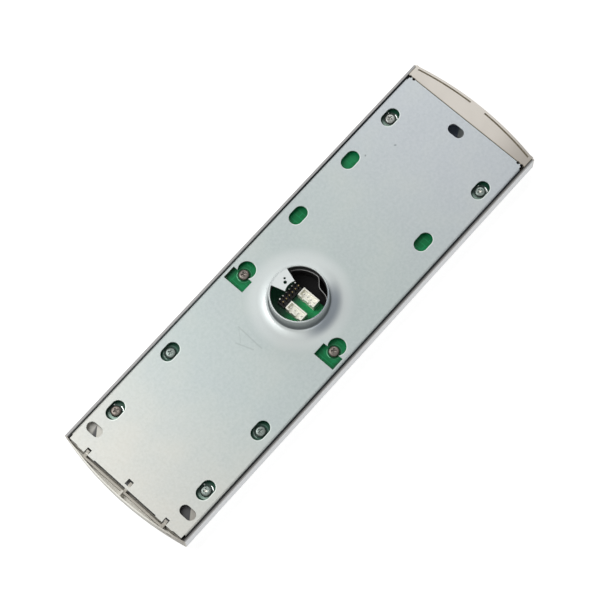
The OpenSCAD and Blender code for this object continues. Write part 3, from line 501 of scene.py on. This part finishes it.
def screw_head(places):
    """Rows run from the crown's pole over the head, under it and down the shank to its tip.
    The crown is flat with an elliptic edge, the recess a cross sunk into it, the shank a
    helix of pointed teeth."""
    crown = np.linspace(0, 1, 44)
    down = np.linspace(seat_y, tip_y, 72)
    r = np.concatenate([head_r * crown, [head_r, neck_r], np.full(len(down), neck_r), [0]])
    fall = np.clip((crown - 0.55) / 0.45, 0, 0.98)
    dome = seat_y + head_h * (0.35 + 0.59 * np.sqrt(1 - fall ** 2) + 0.06 * (1 - crown ** 2))
    y = np.concatenate([dome, [seat_y, seat_y], down, [tip_y]])
    grid = lathe(np.stack([r, y], 1), 96, places)
    swing = np.linspace(0.2, 5.1, len(places))[:, None, None]
    off = grid - np.array([[p[0], 0, p[1]] for p in places])[:, None, None, :]
    a = off[..., 0] * np.cos(swing) + off[..., 2] * np.sin(swing)
    b = off[..., 2] * np.cos(swing) - off[..., 0] * np.sin(swing)
    arm, half, soft = 0.00155, 0.00036, 0.00012
    inside = [np.clip((half - abs(p)) / soft + 0.5, 0, 1) * np.clip((arm - abs(q)) / soft, 0, 1)
              for p, q in ((a, b), (b, a))]
    sink = np.maximum(*inside) * (recess_depth - recess_slope * np.minimum(np.hypot(a, b), arm))
    on_top = (np.arange(len(r)) < len(crown))[None, :, None]
    grid[..., 1] -= np.where(on_top, sink, 0)
    turn = np.arctan2(off[..., 2], off[..., 0]) / (2 * np.pi)
    tooth = thread_depth * (2 * abs((off[..., 1] / thread_pitch + turn) % 1 - 0.5) - 1)
    on_shank = (np.arange(len(r)) > len(crown) + 2)[None, :, None] & (np.hypot(a, b) > 0.0002)
    scale = 1 + np.where(on_shank, tooth / neck_r, 0)
    grid[..., 0] += off[..., 0] * (scale - 1)
    grid[..., 2] += off[..., 2] * (scale - 1)
    return grid


steel, shader, place = new_finish("screw_steel", Metallic=0.8)
x, y, z = place.axes()
stain = place.grain((420, 420, 420), 3.0)
tarnish = abs(z - screw_zs[2]).step(0.02, 0.01).most(x.step(0.01, -0.01) * abs(z).step(0.09, 0.11))
colour = tarnish.paint(tone(116, 108, 102), tone(126, 137, 132))
colour = (x.step(-0.01, 0.01) * z.step(0.09, 0.11)).paint(colour, tone(152, 155, 151))
colour = (stain.step(0.35, 0.65) * 0.4).paint(colour, tone(78, 78, 74))
# A painted highlight sits in the recess of two screws.
for height in (screw_zs[0], screw_zs[3]):
    painted_glint = scratch(x, z, (-screw_x, height), (0.0002 - screw_x, height), 0.0011)
    colour = painted_glint.paint(colour, tone(255, 252, 244))
lay(shader, Base_Color=colour, Roughness=0.28 + stain * 0.2)
screws = surface("board_screw_set", screw_head(screw_places), steel)
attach(screws, "panel")
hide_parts("board_screws")


# Lands and solder.
# Copper rings on the boards round the screws: the outer four are tinned, with a painted shadow on
# one side, the others are covered by the solder mask, and drops of solder stand on them, painted
# near white and pale green as painted highlights of the rings' edges.
outer_places = [(across, height) for across, height in screw_places if abs(height) > 0.1]
inner_places = [(across, height) for across, height in screw_places if abs(height) < 0.1]
land_in, land_out, land_top, land_foot = 0.0017, 0.0047, seat_y + 0.00003, seat_y - 0.00001
land_profile = [(land_in, land_top), (land_out - 0.00003, land_top), (land_out, seat_y),
                (land_out, land_foot), (land_in, land_foot), (land_in, land_top)]
masked, shader, place = new_finish("land_green", Specular_IOR_Level=0.15)
x, y, z = place.axes()
off_x, off_z = abs(x) - screw_x, abs(z - screw_zs[1]).least(abs(z - screw_zs[2]))
ring = abs((off_x * off_x + off_z * off_z) ** 0.5 - 0.0043).step(0.0004, 0.0001)
low = z.step(-0.03, -0.05)
skin = place.grain((1500, 1500, 1500), 2.0)
colour = low.paint(tone(14, 92, 52), tone(54, 88, 75))
pale = low.paint(tone(70, 158, 112), tone(112, 146, 132))
lay(shader, Base_Color=(ring * (0.6 - low * 0.2)).paint(colour, pale),
    Roughness=0.25 + skin * 0.1, height=skin * 0.000004)
tinned, shader, place = new_finish("land_tin", Metallic=0.6)
x, y, z = place.axes()
off_x = x - x.math("SIGN", x) * screw_x
off_z = z - z.step(-0.01, 0.01) * (screw_zs[0] - screw_zs[3]) - screw_zs[3]
stain = place.grain((420, 420, 420), 3.0)
# A painted shadow darkens each tinned land on one side.
land_shadow = (off_x * 0.66 + off_z * 0.75).step(-0.0030, 0.0005)
colour = land_shadow.paint(tone(122, 142, 132), tone(40, 58, 52))
lay(shader, Base_Color=(stain.step(0.35, 0.65) * 0.3).paint(colour, tone(52, 74, 64)),
    Roughness=0.32 + stain * 0.2)
for name, places, slot, finish in (("tinned_lands", outer_places, "pin_tin", tinned),
                                   ("masked_lands", inner_places, "board_green", masked)):
    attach(surface(name, lathe(land_profile, 64, places), finish), "panel")


def bead(places, radius, start, end, half, high):
    """Drops of solder drawn out along an arc: each row is a half ellipse across the arc, and
    the rows shrink towards both ends as the root of one less the fourth power."""
    t = np.linspace(0, 1, 25)[:, None]
    b = np.linspace(0, 2 * np.pi, 16, endpoint=False)[None, :]
    taper = np.sqrt(np.clip(1 - (2 * t - 1) ** 4, 0, 1))
    turn = np.radians(start + (end - start) * t)
    off = radius + half * taper * np.cos(b)
    lift = land_top + high * taper * np.maximum(np.sin(b), -0.1)
    grid = np.stack([off * np.cos(turn), lift + 0 * turn, off * np.sin(turn)], -1)
    return grid[None] + np.array([[p[0], 0, p[1]] for p in places])[:, None, None, :]


beads = np.concatenate([bead(outer_places, 0.0041, 88, 140, 0.00044, 0.00034),
                        bead(outer_places, 0.0040, 28, 40, 0.00046, 0.00060),
                        bead(inner_places, 0.0039, -105, -15, 0.00020, 0.00010)])
# The arcs are painted near white and pale green as painted highlights along the rings' edges.
tin, shader, place = new_finish("solder")
stain = place.grain((420, 420, 420), 3.0)
z = place.axes()[2]
free = abs(z).step(0.09, 0.11)
colour = z.step(-0.03, -0.05).paint(tone(112, 200, 152), tone(176, 196, 187))
lay(shader, Base_Color=free.paint(colour, tone(246, 250, 247)), Metallic=free,
    Roughness=0.34 + stain * 0.2)
solder = surface("solder_beads", beads, tin)
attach(solder, "panel")


# Call lights.
# Small white lamps under the halo rings, four to each button.
dress(moulded("led_lens", tone(238, 234, 214), 0.25, 1500, 0.000004, 0.05), "call_leds")


# Halo rings.
# Milky acrylic that carries the call lights round each button; flanged behind the front wall.
halo, shader, place = new_finish("halo_clear", Subsurface_Weight=0.2, Subsurface_Scale=0.002,
                                 Coat_Weight=0.4, Coat_Roughness=0.08)
milk = place.grain((240, 240, 240), 3.0)
lay(shader, Base_Color=milk.step(0.3, 0.7).paint(tone(238, 240, 241), tone(250, 251, 251)),
    Roughness=0.22 + milk * 0.12)
dress(halo, "up_halo_ring", "down_halo_ring")


# Button faces.
# Deep-drawn stainless caps with a shallow finger dish, brushed in rings, each with a filled
# arrow: the upper one calls a car going up and the lower one a car going down.
buttons = {"up": (-0.0396, 1), "down": (-0.0922, -1)}
face_y, dish, dish_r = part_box("up_button_face")[0].y, 0.0004, 0.0144
arrow_half, arrow_length, arrow_thick = 0.0058, 0.0092, 0.00016
fill = moulded("arrow_fill", tone(44, 46, 50), 0.4, 3000, 0.000006)


def arrow(centre, way):
    """A rounded triangle on the dish: rows run from its base to its tip, and each row is a
    flat loop, as wide as the triangle there, lying along the dish's parabola."""
    row = np.concatenate([[0], np.linspace(0.02, 0.98, 30), [1]])[:, None]
    loop = np.linspace(0, 2 * np.pi, 40, endpoint=False)[None, :]
    width = arrow_half * (1 - row) * np.minimum(1, (row / 0.04 + 0.02)) ** 0.5
    width = np.maximum(width - 0.0002 * (row > 0.9), 0) * ((row > 0) & (row < 1))
    across = width * np.sign(np.cos(loop)) * abs(np.cos(loop)) ** 0.4
    thick = arrow_thick * np.sin(loop) * ((row > 0) & (row < 1))
    along = arrow_length * (row - 0.36) * way + 0 * loop
    sag = dish * (1 - (across ** 2 + along ** 2) / dish_r ** 2)
    return np.stack([across, face_y + sag - thick, centre + along], -1)[None]


for call, (centre, way) in buttons.items():
    steel, shader, place = new_finish(call + "_button_steel", Metallic=1.0, Anisotropic=0.4)
    x, y, z = place.axes()
    z = z - centre
    ring = (x * x + z * z) ** 0.5
    spin = ring.add("CombineXYZ", sockets={0: ring})
    groove = spin.grain((7000, 1, 1), 2.0)
    touch = place.grain((150, 150, 150), 3.0)
    shade = (groove * 0.7 + touch * 0.3).step(0.3, 0.7)
    lay(shader, Base_Color=shade.paint(tone(148, 149, 150), tone(190, 190, 189)),
        Roughness=0.26 + touch * 0.16 + groove * 0.06, height=groove * 0.000003)
    dress(steel, call + "_button_face")
    mark = surface(call + "_arrow", arrow(centre, way), fill)
    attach(mark, call + "_button")


# Button carriers.
# Grey mouldings pressed into the steel faces: their stop catches behind the halo ring, and
# their stem works the switch.
dress(moulded("carrier_grey", tone(92, 94, 97), 0.5), "up_button_carrier", "down_button_carrier")


# Return springs.
# Round steel wire, closed at both ends, between each carrier and the floor of its guide cup.
# A spring stays on the panel.
wire_r, coil_r, coil_turns, flat_turns, travel = 0.00045, 0.0058, 4.0, 0.6, 0.001
wire_steel = plated("spring_wire", tone(196, 198, 200), 0.2, 0.2)


def coil(centre, front, back):
    """A circle carried along a helix round Y: both end stretches lie flat, the pitch is even
    between them, and the circle shrinks to a point at both ends."""
    t = np.linspace(0, 1, 200)[:, None]
    b = np.linspace(0, 2 * np.pi, 12, endpoint=False)[None, :]
    rise = np.clip((t * coil_turns - flat_turns) / (coil_turns - 2 * flat_turns), 0, 1)
    girth = wire_r * np.minimum(1, np.minimum(t, 1 - t) * 500)
    out = coil_r + girth * np.cos(b)
    y = front + (back - front) * rise + girth * np.sin(b)
    turn = 2 * np.pi * coil_turns * t
    return np.stack([out * np.cos(turn), y, centre + out * np.sin(turn)], -1)[None]


for call, (centre, way) in buttons.items():
    low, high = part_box(call + "_return_spring")
    grid = coil(centre, low.y + wire_r, high.y - wire_r)
    spring = surface(call + "_coil", grid, wire_steel)
    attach(spring, "panel")
    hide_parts(call + "_return_spring")
    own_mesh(spring)


# Switches.
# Small push switches soldered to the button board, each with a white plunger.
dress(moulded("switch_black", tone(30, 30, 31), 0.42), "up_switch_body", "down_switch_body")
dress(moulded("plunger_white", tone(226, 225, 218), 0.35, soiled=0.05),
      "up_switch_plunger", "down_switch_plunger")


# Floor, light and camera.
# The panel lies face down on a white sheet, seen from behind and lit softly from one side.
# The sheet has no back, so the panel's front shows in the views from that side.
sheet_y, sheet_half = face_y - 0.0002, 3.0
sheet_mesh = bpy.data.meshes.new("floor")
sheet_mesh.from_pydata([(-sheet_half, sheet_y, -sheet_half), (-sheet_half, sheet_y, sheet_half),
                        (sheet_half, sheet_y, sheet_half), (sheet_half, sheet_y, -sheet_half)],
                       [], [(0, 1, 2, 3)])
floor = bpy.data.objects.new("floor", sheet_mesh)
bpy.context.scene.collection.objects.link(floor)
floor.visible_shadow = floor.visible_diffuse = floor.visible_glossy = floor.visible_transmission = False
paper = bpy.data.materials.new("paper")
paper.use_nodes = True
tree = paper.node_tree
tree.nodes.clear()
behind = Wire(tree.nodes.new("ShaderNodeNewGeometry").outputs["Backfacing"])
matt = behind.add("BsdfDiffuse", sockets={"Color": (0.50, 0.50, 0.52, 1)})
glow = behind.add("Emission", sockets={"Color": (1, 1, 0.985, 1), "Strength": 0.77})
white = behind.add("AddShader", sockets={0: matt, 1: glow})
clear = behind.add("BsdfTransparent")
seen = behind.add("MixShader", sockets={0: behind, 1: white, 2: clear})
end = tree.nodes.new("ShaderNodeOutputMaterial")
tree.links.new(seen.socket, end.inputs["Surface"])
sheet_mesh.materials.append(paper)

# The world is white where it is seen or mirrored, and lights the panel at about a third of that.
world_light = 0.34
world = bpy.data.worlds.new("studio")
bpy.context.scene.world = world
world.use_nodes = True
tree = world.node_tree
ray = tree.nodes.new("ShaderNodeLightPath")
plain = Wire(ray.outputs["Is Camera Ray"]).most(Wire(ray.outputs["Is Glossy Ray"]))
plain = plain.most(Wire(ray.outputs["Is Transmission Ray"]))
strength = world_light + plain * (1 - world_light)
tree.links.new(strength.socket, tree.nodes["Background"].inputs["Strength"])
tree.nodes["Background"].inputs["Color"].default_value = (1, 1, 1, 1)

# Square lamps facing the collar, each with its direction, distance, size and power.
for name, toward, far, size, power in (("key", (0.46, 0.80, -0.32), 0.50, 0.30, 1.40),
                                       ("fill", (0.40, 0.60, 0.70), 0.45, 0.3, 0.45),
                                       ("side", (-0.96, 0.04, -0.26), 0.8, 0.6, 2.2),
                                       ("front", (-0.45, -0.82, 0.36), 1.1, 1.4, 4.2)):
    lamp = bpy.data.lights.new(name, "AREA")
    lamp.size, lamp.energy = size, power
    source = bpy.data.objects.new(name, lamp)
    bpy.context.scene.collection.objects.link(source)
    toward = np.array(toward) / np.linalg.norm(toward)
    side = np.cross((0, 0, 1), toward)
    side /= np.linalg.norm(side)
    turn = Matrix(np.stack([side, np.cross(toward, side), toward], 1).tolist()).to_4x4()
    source.matrix_world = Matrix.Translation((toward * far).tolist()) @ turn

# The camera stands where the four corners of the wall plate put it.
camera = bpy.data.objects.new("camera", bpy.data.cameras.new("camera"))
camera.data.lens, camera.data.sensor_width = 117.0, 36.0
camera.matrix_world = Matrix(((-0.74500, 0.63126, -0.21560, -0.2356),
                              (-0.02943, 0.29179, 0.95603, 1.0430),
                              (0.66641, 0.71859, -0.19881, -0.2168), (0, 0, 0, 1)))
bpy.context.scene.collection.objects.link(camera)
bpy.context.scene.camera = camera
bpy.context.scene.view_settings.view_transform = "Standard"
